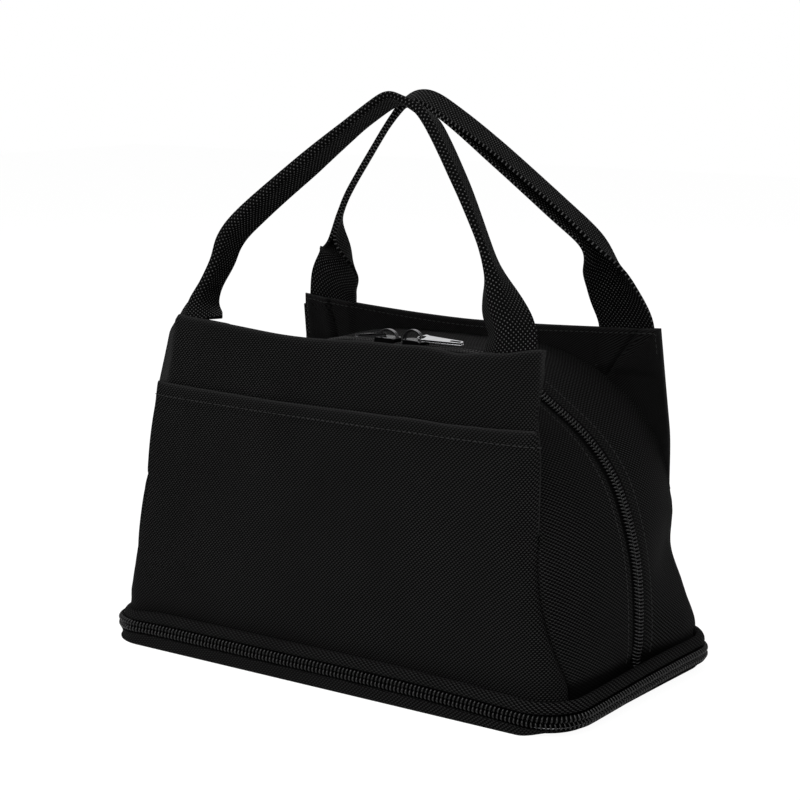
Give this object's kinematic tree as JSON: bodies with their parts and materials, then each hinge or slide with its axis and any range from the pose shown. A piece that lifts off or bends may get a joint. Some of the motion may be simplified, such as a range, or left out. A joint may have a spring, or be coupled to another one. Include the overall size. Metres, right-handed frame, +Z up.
{
  "type": "soft insulated lunch bag",
  "caption": "Soft insulated lunch bag: twill halves that open along a zip over the top, webbing handles, front slip pocket and a zipped base that expands.",
  "frame": {"origin": "under the middle of the base, on the surface it stands on", "axes": "+Z up, +X along the length to the wearer's right as seen from the front, -Y towards the front with the pocket"},
  "size_m": [0.286, 0.1602, 0.2916],
  "materials": {
    "twill": "matt black twill",
    "webbing": "coarse black webbing",
    "zip_tape": "woven tape",
    "zip_coil": "glossy black nylon",
    "slider_metal": "dark nickel plating",
    "foam": "closed-cell foam",
    "lining_film": "silver film",
    "base_board": "plain board"
  },
  "bodies": {
    "base": {"base_panel": "twill", "base_board": "base_board", "base_foam": "foam", "base_lining": "lining_film", "base_lower_tape": "zip_tape", "base_lower_coil": "zip_coil", "base_zip_end_tab": "twill", "expansion_gusset": "twill"},
    "seam_ring": {"base_welt": "twill", "seam_binding": "twill", "base_upper_tape": "zip_tape", "base_upper_coil": "zip_coil"},
    "front_half": {"front_panel": "twill", "front_flap_facing": "twill", "front_foam": "foam", "front_gusset": "twill", "front_gusset_foam": "foam", "front_lining": "lining_film", "front_zip_tape": "zip_tape", "front_zip_coil": "zip_coil", "front_left_strap_end": "webbing", "front_right_strap_end": "webbing", "front_pocket": "twill"},
    "rear_half": {"rear_panel": "twill", "rear_flap_facing": "twill", "rear_foam": "foam", "rear_gusset": "twill", "rear_gusset_foam": "foam", "rear_lining": "lining_film", "rear_zip_tape": "zip_tape", "rear_zip_coil": "zip_coil", "rear_left_strap_end": "webbing", "rear_right_strap_end": "webbing"},
    "front_handle": {"front_handle": "webbing"},
    "rear_handle": {"rear_handle": "webbing"},
    "left_slider": {"left_slider": "slider_metal"},
    "left_pull": {"left_pull": "slider_metal"},
    "right_slider": {"right_slider": "slider_metal"},
    "right_pull": {"right_pull": "slider_metal"},
    "base_slider": {"base_slider": "slider_metal"},
    "base_pull": {"base_pull": "slider_metal"}
  },
  "joints": [
    {"name": "base_expand", "type": "slide", "parent": "base", "child": "seam_ring", "axis": [0, 0, 1], "range_m": [0, 0.034], "deforming": ["expansion_gusset"]},
    {"name": "front_open", "type": "hinge", "parent": "seam_ring", "child": "front_half", "pos_m": [0, -0.0745, 0.0203], "axis": [1, 0, 0], "range_deg": [0, 30]},
    {"name": "rear_open", "type": "hinge", "parent": "seam_ring", "child": "rear_half", "pos_m": [0, 0.0725, 0.0203], "axis": [-1, 0, 0], "range_deg": [0, 30]},
    {"name": "front_handle_swing", "type": "hinge", "parent": "front_half", "child": "front_handle", "pos_m": [0, -0.0492, 0.1776], "axis": [1, 0, 0], "range_deg": [0, 160]},
    {"name": "rear_handle_swing", "type": "hinge", "parent": "rear_half", "child": "rear_handle", "pos_m": [0, 0.05617, 0.1776], "axis": [-1, 0, 0], "range_deg": [0, 160]},
    {"name": "left_slider_travel", "type": "slide", "parent": "front_half", "child": "left_slider", "axis": [-1, 0, 0], "range_m": [0, 0.0145]},
    {"name": "left_pull_swing", "type": "hinge", "parent": "left_slider", "child": "left_pull", "pos_m": [-0.0184, 0.003, 0.1671], "axis": [0, 0, -1], "range_deg": [0, 90]},
    {"name": "right_slider_travel", "type": "slide", "parent": "rear_half", "child": "right_slider", "axis": [1, 0, 0], "range_m": [0, 0.023]},
    {"name": "right_pull_swing", "type": "hinge", "parent": "right_slider", "child": "right_pull", "pos_m": [0.0055, 0.003, 0.1671], "axis": [0, -1, 0], "range_deg": [0, 110]},
    {"name": "base_slider_travel", "type": "slide", "parent": "base", "child": "base_slider", "axis": [1, 0, 0], "range_m": [0, 0.08]},
    {"name": "base_pull_swing", "type": "hinge", "parent": "base_slider", "child": "base_pull", "pos_m": [0.02865, 0.0798, 0.0107], "axis": [0, 0, 1], "range_deg": [0, 120]}
  ]
}
